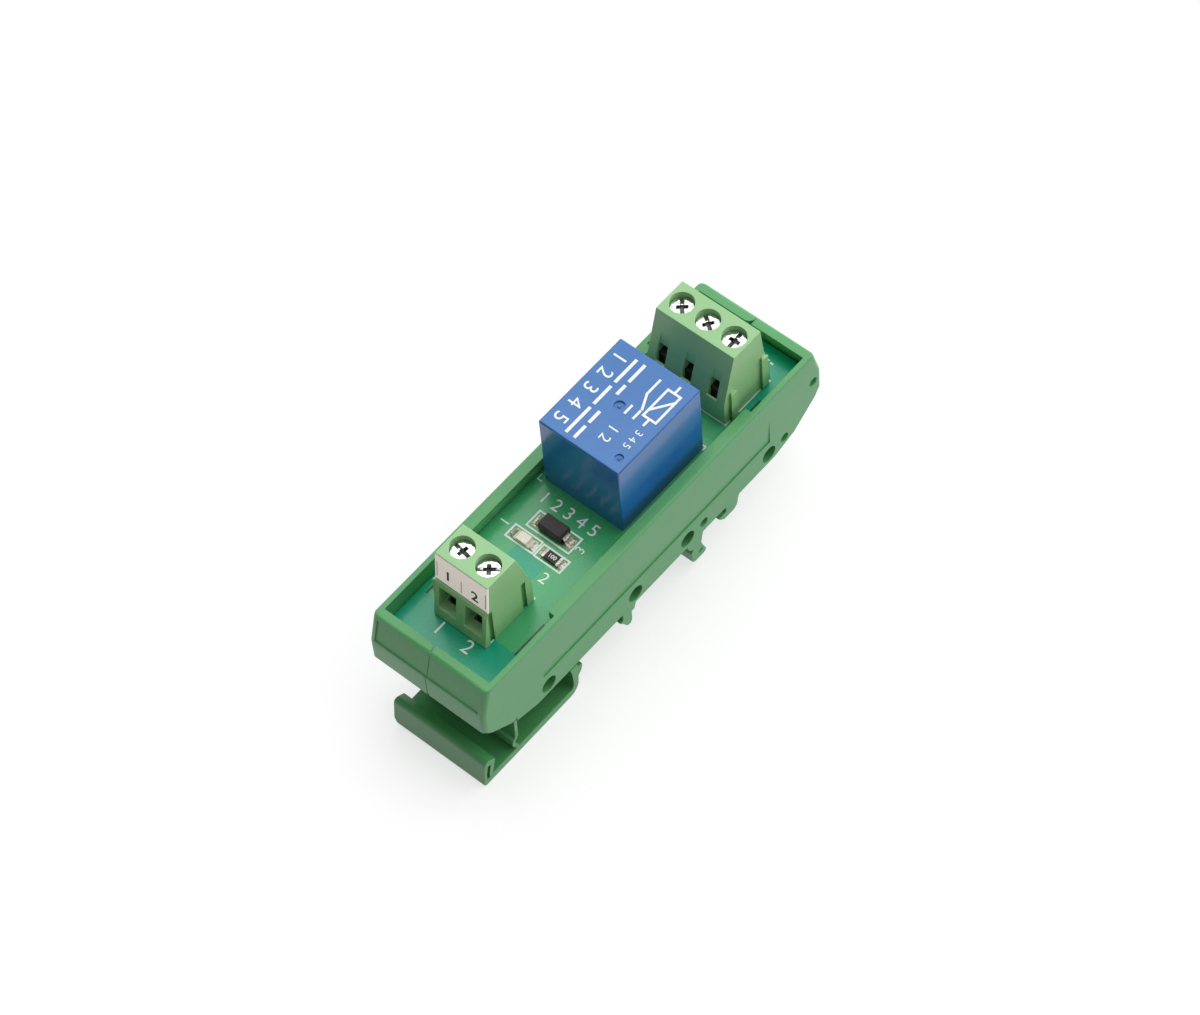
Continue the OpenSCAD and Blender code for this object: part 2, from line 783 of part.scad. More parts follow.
module relay_coil_pins() {
  color("silver") in_relay_place() {
    for (x = [-contact_pin_x, contact_pin_x]) {
      pin_post([x, coil_pin_y], -relay_pin_reach, base_top + yoke_t + coil_pin_up);
    }
  }
}

// Section of a block, as distance from its back face and height
block_section = [
  [0, 0], [block_d, 0], [block_d, 0.6], [ledge_s + 0.25, ledge_z - 0.4],
  [ledge_s, ledge_z], [block_top_front, block_h], [block_top_back, block_h], [0, back_step_z]
];

// Moulded housing: screw wells, clamp chambers and wire funnels
module terminal_housing(poles, has_label) {
  w = poles * pitch;
  chamber_top = clamp_roof_z + clamp_roof + clamp_travel + seat_fit;
  back_lean = block_top_back / (block_h - back_step_z);
  for (d = dovetails) translate([w / 2, d[0], 0.2]) dovetail(d[1] - 0.2, 0);
  difference() {
    across(-w / 2, w / 2) polygon(block_section);
    for (d = dovetails) translate([-w / 2, d[0], -e]) dovetail(d[1] + e + seat_fit, seat_fit);
    for (i = [1:poles]) translate([pole_x(i, poles), 0, 0]) {
      translate([0, screw_s, head_z]) cylinder(r = head_r + seat_fit, h = block_h);
      translate([0, screw_s, head_z - shoulder_t - e]) {
        cylinder(r = shank_r + run_fit, h = shoulder_t + 2 * e);
      }
      translate([-clamp_w / 2 - seat_fit, screw_s - clamp_d / 2 - seat_fit, -e]) {
        cube([clamp_w + 2 * seat_fit, clamp_d + 2 * seat_fit, chamber_top + e]);
      }
      translate([-bar_w / 2 - seat_fit, bar_back - seat_fit, -e]) {
        cube([bar_w + 2 * seat_fit, bar_front - bar_back + 2 * seat_fit, bar_z + bar_t + seat_fit + e]);
      }
      // Wire funnel, narrowing to the space under the contact bar
      across(-wire_w / 2, wire_w / 2) polygon([
        [block_d + 1, clamp_floor_z - 0.3], [bar_front, clamp_floor_z + 0.2],
        [screw_s, clamp_floor_z + 0.2], [screw_s, bar_z], [bar_front + 0.1, bar_z],
        [ledge_s + 0.4, ledge_z - 1.1], [block_d + 1, ledge_z - 1.1]
      ]);
      // Inspection slot in the back, deep below and shallow above, over a thin sill
      across(-0.9, 0.9) polygon([
        [-1, back_step_z], [0.4, back_step_z], [0.4, back_step_z - 1.8],
        [bar_back, back_step_z - 1.8], [bar_back, back_step_z], [screw_s, back_step_z], [screw_s, 8.2],
        [3.2 * back_lean + 0.5, 8.2], [6 * back_lean, 11], [-1, 11]
      ]);
    }
    if (has_label) across(-w, w) polygon(label_section(e));
  }
}

// Tongue on the right end of a block, or with room round it the groove that
// takes the next block's tongue
module dovetail(length, grow) {
  neck = dovetail_neck / 2 + grow;
  wide = dovetail_w / 2 + grow;
  out = dovetail_out + grow;
  linear_extrude(length) polygon([
    [-e, -neck], [0, -neck], [out, -wide], [out, wide], [0, neck], [-e, neck]
  ]);
}

// Section of the label strip, let into the block's sloping front face
function label_section(out) = let (lean = (ledge_s - block_top_front) / (block_h - ledge_z)) [
  [ledge_s - label_t, ledge_z + 0.1], [ledge_s + out, ledge_z + 0.1],
  [block_top_front + 0.3 * lean + out, block_h - 0.3],
  [block_top_front + 0.3 * lean - label_t, block_h - 0.3]
];

module contact_bars(poles) {
  for (i = [1:poles]) translate([pole_x(i, poles), 0, 0]) {
    across(-bar_w / 2, bar_w / 2) polygon([
      [bar_back, 0.6], [bar_back + bar_t, 0.6], [bar_back + bar_t, bar_z],
      [bar_front, bar_z], [bar_front, bar_z + bar_t], [bar_back, bar_z + bar_t]
    ]);
    translate([-pin_w / 2, bar_back + (bar_t - pin_t) / 2, -pin_reach]) {
      cube([pin_w, pin_t, pin_reach + 0.7]);
    }
  }
}

// Slotted and crossed head on a plain shank that ends on the contact bar
module clamp_screw(i, poles, turn) {
  top = head_z + head_h;
  translate([pole_x(i, poles), screw_s, 0]) rotate([0, 0, turn]) difference() {
    union() {
      translate([0, 0, head_z]) cylinder(r = head_r, h = head_h);
      translate([0, 0, bar_z + bar_t + run_fit]) {
        cylinder(r = shank_r, h = head_z - bar_z - bar_t - run_fit + 0.1);
      }
    }
    translate([-head_r - e, -slot_w / 2, top - slot_deep]) cube([2 * head_r + 2 * e, slot_w, head_h]);
    translate([-slot_w / 2, -0.9, top - cross_deep]) cube([slot_w, 1.8, head_h]);
    translate([-0.9, -slot_w / 2, top - cross_deep]) cube([1.8, slot_w, head_h]);
  }
}

// Box clamp: its roof is threaded on the screw, its floor lifts the wire
module box_clamp(i, poles) {
  low = clamp_floor_z - clamp_floor;
  window = bar_w + 0.4;
  translate([pole_x(i, poles), screw_s, 0]) difference() {
    translate([-clamp_w / 2, -clamp_d / 2, low]) {
      cube([clamp_w, clamp_d, clamp_roof_z + clamp_roof - low]);
    }
    translate([-window / 2, -clamp_d, clamp_floor_z]) {
      cube([window, 2 * clamp_d, clamp_roof_z - clamp_floor_z]);
    }
    translate([0, 0, clamp_roof_z - e]) cylinder(r = shank_r + run_fit, h = clamp_roof + 2 * e);
  }
}

module input_terminal_housing() {
  color("darkseagreen") in_input_place() terminal_housing(input_poles, true);
}

module output_terminal_housing() {
  color("darkseagreen") in_output_place() terminal_housing(output_poles, false);
}

module input_contact_bars() {
  color("silver") in_input_place() contact_bars(input_poles);
}

module output_contact_bars() {
  color("silver") in_output_place() contact_bars(output_poles);
}

module input_label_strip() {
  w = input_poles * pitch;
  color("mistyrose") in_input_place() across(-w / 2, w / 2) polygon(label_section(0));
}

module input_screw(i) {
  color("whitesmoke") in_input_place() clamp_screw(i, input_poles, input_turns[i - 1]);
}

module input_clamp(i) {
  color("silver") in_input_place() box_clamp(i, input_poles);
}

module output_screw(i) {
  color("whitesmoke") in_output_place() clamp_screw(i, output_poles, output_turns[i - 1]);
}

module output_clamp(i) {
  color("silver") in_output_place() box_clamp(i, output_poles);
}

// Moulded body with drafted sides, parted at half its height
module diode_body() {
  s = diode_size;
  color("dimgray") on_board(diode_at) intersection() {
    across(-s.x / 2, s.x / 2) drafted_section(s.y, s.z);
    along(-s.y / 2, s.y / 2) drafted_section(s.x, s.z);
  }
}

module drafted_section(w, h) {
  draft = 0.12;
  polygon([
    [draft - w / 2, 0.15], [w / 2 - draft, 0.15], [w / 2, h / 2],
    [w / 2 - draft, h], [draft - w / 2, h], [-w / 2, h / 2]
  ]);
}

// Tinned strips that come out at half height and fold down to the board
module diode_leads() {
  x = diode_size.x / 2;
  mid = diode_size.z / 2;
  color("silver") on_board(diode_at) for (m = [0, 1]) mirror([m, 0, 0]) {
    along(-0.7, 0.7) polygon([
      [x, mid - 0.1], [x + 0.1, mid - 0.1], [x + 0.3, mid - 0.3], [x + 0.3, 0],
      [x + 0.5, 0], [x + 0.5, mid - 0.2], [x + 0.2, mid + 0.1], [x, mid + 0.1]
    ]);
  }
}

module lamp_base() {
  s = chip_size;
  color("wheat") on_board(lamp_at) {
    translate([-s.x / 2, -s.y / 2, 0]) cube([s.x, s.y, 0.35]);
  }
}

module lamp_lens() {
  s = chip_size;
  color("ivory") on_board(lamp_at) along(-s.y / 2, s.y / 2) polygon([
    [-s.x / 2 + 0.5, 0.35], [s.x / 2 - 0.5, 0.35], [s.x / 2 - 0.65, 0.85], [0.65 - s.x / 2, 0.85]
  ]);
}

module resistor_body() {
  s = chip_size;
  color("black") on_board(resistor_at) {
    translate([-s.x / 2 + 0.45, -s.y / 2 + 0.03, 0.06]) {
      cube([s.x - 0.9, s.y - 0.06, s.z - 0.06]);
    }
  }
}

module resistor_caps() {
  s = chip_size;
  color("silver") on_board(resistor_at) {
    for (x = [-s.x / 2, s.x / 2 - 0.45]) translate([x, -s.y / 2, 0]) cube([0.45, s.y, s.z]);
  }
}

carrier_half_left();
carrier_half_right();
rail_latch();
latch_spring();
circuit_board();
solder_joints();
relay_case();
relay_base();
relay_bobbin();
relay_winding();
relay_core();
relay_yoke();
relay_armature();
relay_contact_spring();
relay_upper_contact();
relay_lower_contact();
relay_coil_pins();
input_terminal_housing();
input_contact_bars();
input_label_strip();
input_screw(1);  // input_screw_1
input_screw(2);  // input_screw_2
input_clamp(1);  // input_clamp_1
input_clamp(2);  // input_clamp_2
output_terminal_housing();
output_contact_bars();
output_screw(1);  // output_screw_1
output_screw(2);  // output_screw_2
output_screw(3);  // output_screw_3
output_clamp(1);  // output_clamp_1
output_clamp(2);  // output_clamp_2
output_clamp(3);  // output_clamp_3
diode_body();
diode_leads();
lamp_base();
lamp_lens();
resistor_body();
resistor_caps();
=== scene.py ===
from math import radians

import bmesh
import bpy
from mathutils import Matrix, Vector


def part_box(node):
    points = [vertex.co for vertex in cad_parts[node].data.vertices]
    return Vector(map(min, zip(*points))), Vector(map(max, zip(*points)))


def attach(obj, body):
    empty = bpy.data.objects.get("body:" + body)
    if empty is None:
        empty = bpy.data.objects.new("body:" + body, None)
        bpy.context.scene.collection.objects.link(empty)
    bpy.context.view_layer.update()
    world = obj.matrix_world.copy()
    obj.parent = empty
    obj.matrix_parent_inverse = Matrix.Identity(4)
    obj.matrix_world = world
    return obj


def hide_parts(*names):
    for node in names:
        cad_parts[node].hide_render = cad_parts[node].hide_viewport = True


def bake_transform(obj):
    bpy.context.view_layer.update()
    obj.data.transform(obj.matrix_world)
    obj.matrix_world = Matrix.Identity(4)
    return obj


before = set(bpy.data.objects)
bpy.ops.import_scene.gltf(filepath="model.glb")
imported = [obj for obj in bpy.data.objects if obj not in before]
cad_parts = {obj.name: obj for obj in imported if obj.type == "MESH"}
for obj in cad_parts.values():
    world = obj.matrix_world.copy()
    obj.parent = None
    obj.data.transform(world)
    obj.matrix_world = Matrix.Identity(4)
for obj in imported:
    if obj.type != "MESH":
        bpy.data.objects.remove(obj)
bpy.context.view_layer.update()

# Camera
# It looks down on the front right corner from two thirds of a metre away,
# through a long lens, and the carrier runs from the lower left to the upper
# right.
camera = bpy.data.objects.new("camera", bpy.data.cameras.new("camera"))
camera.location = (0.252524, -0.254683, 0.570748)
camera.rotation_euler = (radians(32.8139), radians(2.9537), radians(40.0929))
camera.data.lens = 130.978
camera.data.clip_start = 0.01
bpy.context.scene.collection.objects.link(camera)
bpy.context.scene.camera = camera


# Table and light
# A pale table top in a room whose back half is bright and whose front half is
# dim, with one weak soft box above. The camera sees the room as plain white.
class Wire:
    """One value in a finish, so that a pattern can be written as sums."""

    def __init__(self, finish, socket):
        self.finish = finish
        self.socket = socket

    def math(self, operation, *values):
        return self.finish.add("ShaderNodeMath", {"operation": operation}, dict(enumerate(values)))

    def __add__(self, other):
        return self.math("ADD", self, other)

    def __radd__(self, other):
        return self.math("ADD", other, self)

    def __sub__(self, other):
        return self.math("SUBTRACT", self, other)

    def __rsub__(self, other):
        return self.math("SUBTRACT", other, self)

    def __mul__(self, other):
        return self.math("MULTIPLY", self, other)

    def __rmul__(self, other):
        return self.math("MULTIPLY", other, self)

    def __abs__(self):
        return self.math("ABSOLUTE", self)

    def root(self):
        return self.math("SQRT", self)

    def least(self, other):
        return self.math("MINIMUM", self, other)

    def most(self, other):
        return self.math("MAXIMUM", self, other)

    def above(self, level, soft):
        """0 under a level and 1 over it, with a soft step between."""
        return self.finish.add("ShaderNodeMapRange", {"interpolation_type": "SMOOTHSTEP"},
            {0: self, 1: level - soft, 2: level + soft})


class Finish:
    """A material on one shader, and one method that adds any node to it."""

    def __init__(self, name, kind=bpy.data.materials, shader="Principled BSDF", **constants):
        self.material = kind.new(name)
        self.material.use_nodes = True
        self.nodes = self.material.node_tree.nodes
        self.links = self.material.node_tree.links
        self.shader = self.nodes[shader]
        self.place = self.add("ShaderNodeTexCoord", {}, {}, "Object")
        self.wear(**constants)

    def add(self, kind, settings, values, output=0):
        node = self.nodes.new(kind)
        for name, value in settings.items():
            setattr(node, name, value)
        for key, value in values.items():
            self.join(value, node.inputs[key])
        return Wire(self, node.outputs[output])

    def join(self, value, socket):
        if isinstance(value, Wire):
            self.links.new(value.socket, socket)
        else:
            socket.default_value = value

    def wear(self, **values):
        """Gives the shader its values, with names such as base_color."""
        for name, value in values.items():
            socket = name.replace("_", " ").title().replace("Ior", "IOR")
            self.join(value, self.shader.inputs[socket])

    def axis(self, name):
        return self.add("ShaderNodeSeparateXYZ", {}, {0: self.place}, name)

    def noise(self, size, detail=2.0, stretch=(1, 1, 1)):
        """Cloudy noise from 0 to 1 with lumps of one size, in metres."""
        spot = self.add("ShaderNodeVectorMath", {"operation": "MULTIPLY"},
            {0: self.place, 1: stretch})
        return self.add("ShaderNodeTexNoise", {},
            {"Vector": spot, "Scale": 1 / size, "Detail": detail})

    def blend(self, mask, under, over):
        return self.add("ShaderNodeMix", {"data_type": "RGBA"}, {0: mask, 6: under, 7: over}, 2)

    def bump(self, height, depth, strength=1.0):
        """A relief of a depth in metres."""
        return self.add("ShaderNodeBump", {},
            {"Height": height, "Distance": depth, "Strength": strength})


def seen(finish):
    """1 where the camera sees it straight, in a reflection or through glass."""
    straight = finish.add("ShaderNodeLightPath", {}, {}, "Is Camera Ray")
    for ray in ("Is Glossy Ray", "Is Transmission Ray"):
        straight = straight.most(finish.add("ShaderNodeLightPath", {}, {}, ray))
    return straight


bpy.ops.object.select_all(action="DESELECT")
bpy.ops.mesh.primitive_plane_add(size=6, location=(0, 0, 0))
table = bpy.context.object
table.name = "table"
black, white = (0, 0, 0, 1), (1, 1, 1, 1)
table_grey, table_glow = 0.42, 0.66
table_top = Finish("table_top", base_color=(table_grey, table_grey, table_grey, 1),
    roughness=0.9, specular_ior_level=0.1)
table_top.wear(emission_color=table_top.blend(seen(table_top), black, white),
    emission_strength=table_glow)
table.data.materials.append(table_top.material)

dim_front, bright_back = 0.24, 1.56
room = Finish("room", bpy.data.worlds, "Background", color=white)
low_down = 1 - room.axis("Z").above(0.4, soft=0.15)
straight = room.add("ShaderNodeLightPath", {}, {}, "Is Camera Ray")
light = dim_front + room.axis("Y").above(0.05, soft=0.3) * (bright_back - dim_front)
room.wear(strength=light.most(seen(room) * low_down.most(straight)))
bpy.context.scene.world = room.material

soft_box = bpy.data.objects.new("box_above", bpy.data.lights.new("box_above", "AREA"))
soft_box.data.size = 0.5
soft_box.data.energy = 0.9
soft_box.location = (-0.1, 0.2, 0.8)
soft_box.rotation_euler = soft_box.location.to_track_quat("Z", "Y").to_euler()
bpy.context.scene.collection.objects.link(soft_box)
bpy.context.scene.view_settings.view_transform = "Standard"


# Carrier halves
# Two mouldings of green polyamide that are pressed together along the middle
# on pegs. Their corners come out of the tool slightly round and polished, and
# the round edges are also painted a slightly deeper green as shade.
def paint(red, green, blue):
    """A colour as read off a screen, made linear."""
    return tuple((c / 255 / 12.92 if c < 10.3 else ((c / 255 + 0.055) / 1.055) ** 2.4)
        for c in (red, green, blue)) + (1.0,)


def pick(piece):
    """Selects this piece alone and makes it active."""
    bpy.ops.object.select_all(action="DESELECT")
    piece.select_set(True)
    bpy.context.view_layer.objects.active = piece


def apply(piece, kind, **settings):
    """Gives the piece a modifier and applies it."""
    modifier = piece.modifiers.new(kind.lower(), kind)
    for name, value in settings.items():
        setattr(modifier, name, value)
    pick(piece)
    bpy.ops.object.modifier_apply(modifier=modifier.name)


def face_reach(face, edge):
    """How far a face reaches away from one of its edges."""
    corner = edge.verts[0].co
    along = (edge.verts[1].co - corner).normalized()
    return max(((v.co - corner) - along * (v.co - corner).dot(along)).length for v in face.verts)


def rounded_copy(node, name, radius, *finishes, softer=lambda spot: False):
    """A copy of a solid with its loose triangles merged and its sharp edges
    made round, four times as much where they are softer, and an edge between
    narrow faces left as it is. A last finish of its own goes on the round
    edges. No point leaves the solid's own box."""
    piece = bpy.data.objects.new(name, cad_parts[node].data.copy())
    bpy.context.scene.collection.objects.link(piece)
    piece.data.materials.clear()
    for finish in finishes:
        piece.data.materials.append(finish.material)
    pick(piece)
    bpy.ops.mesh.customdata_custom_splitnormals_clear()
    bpy.ops.object.mode_set(mode="EDIT")
    bpy.ops.mesh.select_all(action="SELECT")
    bpy.ops.mesh.remove_doubles(threshold=1e-6)
    bpy.ops.mesh.dissolve_limited(angle_limit=radians(0.5))
    mesh = bmesh.from_edit_mesh(piece.data)
    weight = mesh.edges.layers.float.new("bevel_weight_edge")
    narrow, broad = 2.4 * radius, 8 * radius
    for edge in mesh.edges:
        if edge.calc_face_angle(0) > radians(35):
            reach = min(face_reach(face, edge) for face in edge.link_faces)
            if reach > broad and softer((edge.verts[0].co + edge.verts[1].co) / 2):
                edge[weight] = 1.0
            elif reach > narrow:
                edge[weight] = 0.25
    bmesh.update_edit_mesh(piece.data)
    bpy.ops.object.mode_set(mode="OBJECT")
    apply(piece, "BEVEL", width=4 * radius, segments=2, limit_method="WEIGHT",
        use_clamp_overlap=False, material=len(finishes) - 1)
    low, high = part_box(node)
    for vertex in piece.data.vertices:
        vertex.co = [min(max(value, a), b) for value, a, b in zip(vertex.co, low, high)]
    pick(piece)
    bpy.ops.object.shade_smooth_by_angle(angle=radians(32))
    apply(piece, "WEIGHTED_NORMAL", keep_sharp=True)
    return piece


def moulded_green(name, colour, pale, roughness):
    """Satin polyamide with faint clouds of colour and a fine skin."""
    finish = Finish(name)
    cloud = finish.noise(0.004, detail=3)
    skin = finish.noise(0.00025)
    finish.wear(base_color=finish.blend(cloud * 0.5 + skin * 0.25, colour, pale),
        roughness=roughness + (cloud - 0.5) * 0.12 + (skin - 0.5) * 0.1,
        normal=finish.bump(skin, depth=0.00001, strength=0.6), specular_ior_level=0.5)
    return finish


def on_rim_end(spot):
    """True along the tops of the end walls, which are rounder than the rest."""
    return spot.z > 0.0234 and abs(spot.y - 0.0005) > 0.0376


moulded_corner = 0.00015
carrier_green = moulded_green("carrier_green", paint(80, 158, 96), paint(98, 174, 112), 0.36)
# painted shade: the round edges are a slightly deeper, more saturated green than the faces; their
# lower roughness is the real polish
carrier_edge_painted_shade = moulded_green("carrier_edge_painted_shade", paint(76, 160, 92), paint(98, 178, 112), 0.28)
for node in ("carrier_half_left", "carrier_half_right"):
    half = rounded_copy(node, node + "_moulding", moulded_corner, carrier_green, carrier_edge_painted_shade,
        softer=on_rim_end)
    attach(half, "carrier")
    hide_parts(node)

# Rail latch and its spring leaf
# One green moulding that slides under the carrier, with a thin bent leaf
# moulded on it whose foot stays in the carrier and whose top bends.
latch_green = moulded_green("latch_green", paint(74, 146, 88), paint(90, 162, 102), 0.34)
# the latch's round edges take the same painted shade
latch = rounded_copy("rail_latch", "rail_latch_moulding", moulded_corner, latch_green, carrier_edge_painted_shade)
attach(latch, "latch")
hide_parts("rail_latch")

leaf_corner = 0.0001
leaf = rounded_copy("latch_spring", "latch_spring_leaf", leaf_corner, latch_green)
pick(leaf)
bpy.ops.object.mode_set(mode="EDIT")
for height in (0.002, 0.0028, 0.0036, 0.0044, 0.0052, 0.006, 0.0068):
    bpy.ops.mesh.select_all(action="SELECT")
    bpy.ops.mesh.bisect(plane_co=(0, 0, height), plane_no=(0, 0, 1))
bpy.ops.object.mode_set(mode="OBJECT")
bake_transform(leaf)
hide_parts("latch_spring")

# Circuit board
# Glass laminate with copper on it under a glossy green mask. The copper shows
# through as paler fields, the pads are tinned, and the cut edges are bare.
board_top, half_thick = 0.02, 0.0008
board_green = Finish("board_green", coat_roughness=0.08)
across, along, up = (board_green.axis(n) for n in "XYZ")


def field(x0, x1, y0, y1, corner):
    """1 inside a rectangle with round corners on the board, 0 outside."""
    dx = (abs(across - (x0 + x1) / 2) - ((x1 - x0) / 2 - corner)).most(0.0)
    dy = (abs(along - (y0 + y1) / 2) - ((y1 - y0) / 2 - corner)).most(0.0)
    return 1 - (dx * dx + dy * dy).root().above(corner, soft=0.00004)


def fields(*boxes, corner=0.0003):
    """1 inside any of several rectangles."""
    mask = field(*boxes[0], corner)
    for box in boxes[1:]:
        mask = mask.most(field(*box, corner))
    return mask


def dress(finish, *nodes):
    """Gives the solids of these nodes their finish."""
    for node in nodes:
        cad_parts[node].material_slots[0].material = finish.material


pour = fields(
    (-0.0094, 0.0086, -0.0284, -0.0186),
    (-0.0096, 0.0092, -0.0194, 0.0236),
    (-0.0096, -0.0024, 0.0228, 0.0335),
    (-0.0016, 0.0036, 0.0228, 0.0335),
    (0.0044, 0.0066, 0.0228, 0.0335), corner=0.0012)
gaps = fields(
    (-0.0038, 0.0021, -0.0196, -0.0138),
    (-0.0089, -0.0086, -0.003, 0.017), corner=0.0001)
pads = fields(
    (-0.00455, -0.0027, -0.0096, -0.0075),
    (0.0013, 0.003, -0.0096, -0.0075),
    (-0.0059, -0.0046, -0.0131, -0.0114),
    (-0.0027, -0.0013, -0.0131, -0.0114),
    (-0.0002, 0.0013, -0.0132, -0.0115),
    (0.0028, 0.0042, -0.0132, -0.0115))
# painted shade: dark strips on the board along the side walls, beside the ends of the lips, where
# the walls shade it
painted_wall_shade = fields(
    (0.0084, 0.009, -0.0286, -0.0218),
    (0.0084, 0.009, 0.024, 0.029),
    (-0.009, -0.00868, -0.0286, -0.0218), corner=0.0001)
copper = pour.least(1 - gaps)
weave = board_green.add("ShaderNodeTexWave", {"wave_type": "BANDS", "bands_direction": "X"},
    {"Vector": board_green.place, "Scale": 350.0, "Distortion": 1.0, "Detail": 1.0})
cloud = board_green.noise(0.003, detail=3)
tin = board_green.noise(0.0003, detail=3)
cut_edge = 1 - abs(up - (board_top - half_thick)).above(0.00078, soft=0.00001)
colour = board_green.blend(copper, paint(2, 168, 132), paint(72, 178, 112))
colour = board_green.blend(cloud * 0.3, colour, paint(22, 160, 112))
# the painted shade by the walls goes into the board's colour here
colour = board_green.blend(painted_wall_shade, colour, paint(20, 66, 42))
pad_colour = board_green.blend(tin.above(0.5, soft=0.12), paint(122, 108, 78), paint(214, 202, 178))
colour = board_green.blend(pads, colour, pad_colour)
relief = copper + pads * tin + weave * 0.04 + cloud * 0.1
board_green.wear(base_color=board_green.blend(cut_edge, colour, paint(150, 160, 96)),
    roughness=0.22 + cloud * 0.1 + cut_edge * 0.4 + pads * tin * 0.2,
    coat_weight=(1 - cut_edge) * (1 - pads) * 0.12, metallic=pads * 0.5,
    normal=board_green.bump(relief, depth=0.00003, strength=0.8))
dress(board_green, "circuit_board")


# Board print
# White ink on the mask: frames round the small parts, short lines, and plain
# numbers at the terminals and beside the parts.
def ink(name, dark, pale, roughness):
    """Matt ink, a little uneven in colour and gloss."""
    finish = Finish(name)
    finish.wear(base_color=finish.blend(finish.noise(0.0002), dark, pale),
        roughness=roughness + finish.noise(0.0001) * 0.2)
    return finish


ink_depth = 0.00002
ink_white = ink("ink_white", paint(244, 248, 244), paint(254, 255, 254), 0.55)


def ink_line(marks, x0, y0, x1, y1, width, height):
    """A straight printed line between two points on a flat top. Each mark is
    a micrometre higher than the one before, so that none share a face."""
    run = Vector((x1 - x0, y1 - y0))
    depth = ink_depth + 0.000001 * (len(marks) % 9)
    bpy.ops.object.select_all(action="DESELECT")
    bpy.ops.mesh.primitive_cube_add(size=1,
        location=((x0 + x1) / 2, (y0 + y1) / 2, height + depth / 2),
        rotation=(0, 0, -Vector((1, 0)).angle_signed(run, 0)),
        scale=(run.length + width, width, depth))
    bpy.ops.object.transform_apply(location=True, rotation=True, scale=True)
    marks.append(bpy.context.object)


def ink_frame(marks, x0, x1, y0, y1, width, height):
    """Four printed lines round a rectangle."""
    for ends in ((x0, y0, x1, y0), (x1, y0, x1, y1), (x1, y1, x0, y1), (x0, y1, x0, y0)):
        ink_line(marks, *ends, width, height)


def ink_figures(marks, figures, x, y, size, turn, height, heavy=0.0):
    """Plain figures, centred on a point and turned on a flat top. A heavier
    stroke would fill the eye of a 4."""
    bpy.ops.object.select_all(action="DESELECT")
    bpy.ops.object.text_add(location=(x, y, height + ink_depth / 2),
        rotation=(0, 0, radians(turn)))
    text = bpy.context.object
    text.data.body = figures
    text.data.size = size
    text.data.align_x = "CENTER"
    text.data.align_y = "CENTER"
    text.data.extrude = ink_depth / 2
    text.data.offset = size * heavy
    bpy.ops.object.convert(target="MESH")
    bpy.ops.object.transform_apply(location=True, rotation=True, scale=True)
    marks.append(bpy.context.object)


def ink_together(marks, name, finish, lean=0.0, place=(0, 0, 0)):
    """Joins the marks of one print to one piece, leant back and put in place
    on the carrier's body."""
    bpy.ops.object.select_all(action="DESELECT")
    for mark in marks:
        mark.select_set(True)
    bpy.context.view_layer.objects.active = marks[0]
    bpy.ops.object.join()
    piece = bpy.context.object
    piece.rotation_euler = (radians(lean), 0, 0)
    piece.location = place
    bpy.ops.object.transform_apply(location=True, rotation=True, scale=True)
    piece.name = name
    piece.data.name = name
    piece.data.materials.clear()
    piece.data.materials.append(finish.material)
    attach(piece, "carrier")


board_ink = []
frame_width, line_width, dot_size = 0.0003, 0.0002, 0.00035
for x0, x1, y0, y1 in (
        (-0.00495, 0.00335, -0.01015, -0.00695),
        (-0.00627, -0.00095, -0.01351, -0.01102),
        (-0.00055, 0.0045, -0.0136, -0.01115)):
    ink_frame(board_ink, x0, x1, y0, y1, frame_width, board_top)
for ends in (
        (0.00725, 0.0255, 0.00725, 0.0306),
        (0.0024, 0.0222, 0.0071, 0.0222),
        (0.0072, 0.0222, 0.0072, 0.0232),
        (0.0044, -0.0296, 0.0044, -0.0285),
        (0.00735, 0.0166, 0.00735, 0.0173),
        (0.0067, 0.0173, 0.00735, 0.0173),
        (-0.009, -0.0018, -0.009, -0.0028),
        (-0.009, -0.0028, -0.0083, -0.0028)):
    ink_line(board_ink, *ends, line_width, board_top)
for x, y in ((0.0073, 0.0327), (0.00432, -0.0193), (0.0056, 0.0354)):
    ink_line(board_ink, x - 0.0001, y, x + 0.0001, y, dot_size, board_top)
for figures, x, y, size, turn in (
        ("1", -0.0033, -0.03195, 0.0034, 0),
        ("2", 0.0022, -0.0319, 0.0034, 0),
        ("1 2 3 4 5", -0.0011, -0.0048, 0.0031, 0),
        ("1", -0.0078, -0.0117, 0.0024, 90),
        ("3", 0.0044, -0.0086, 0.0022, 90),
        ("2", 0.0033, -0.0158, 0.0028, 0),
        ("3", -0.00558, 0.0351, 0.0022, 180),
        ("4", -0.0005, 0.0351, 0.0022, 180),
        ("5", 0.00458, 0.0351, 0.0022, 180)):
    ink_figures(board_ink, figures, x, y, size, turn, board_top)
ink_together(board_ink, "board_print", ink_white)

# Solder
# Cones of bright solder hold the tails under the board, and fillets hold the
# ends of the small parts.
solder = Finish("solder", metallic=1.0)
lumps = solder.noise(0.0003, detail=3)
shine = lumps.above(0.5, soft=0.15)
solder.wear(base_color=solder.blend(shine, paint(150, 142, 126), paint(214, 210, 200)),
    roughness=0.3 + lumps * 0.25, normal=solder.bump(lumps, depth=0.00004, strength=0.8))
dress(solder, "solder_joints")

# Relay case
# A box of glossy blue plastic with thin walls, set down over the mechanism
# and sealed to its base.
case_corner = 0.00008
relay_blue = Finish("relay_blue", coat_roughness=0.06, coat_weight=0.15)
haze = relay_blue.noise(0.003, detail=3)
ripple = relay_blue.noise(0.0004)
relay_blue.wear(base_color=relay_blue.blend(haze, paint(38, 108, 180), paint(50, 120, 192)),
    roughness=0.2 + haze * 0.06, normal=relay_blue.bump(ripple, depth=0.000002, strength=0.4))
case = rounded_copy("relay_case", "relay_case_moulding", case_corner, relay_blue)
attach(case, "carrier")
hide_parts("relay_case")

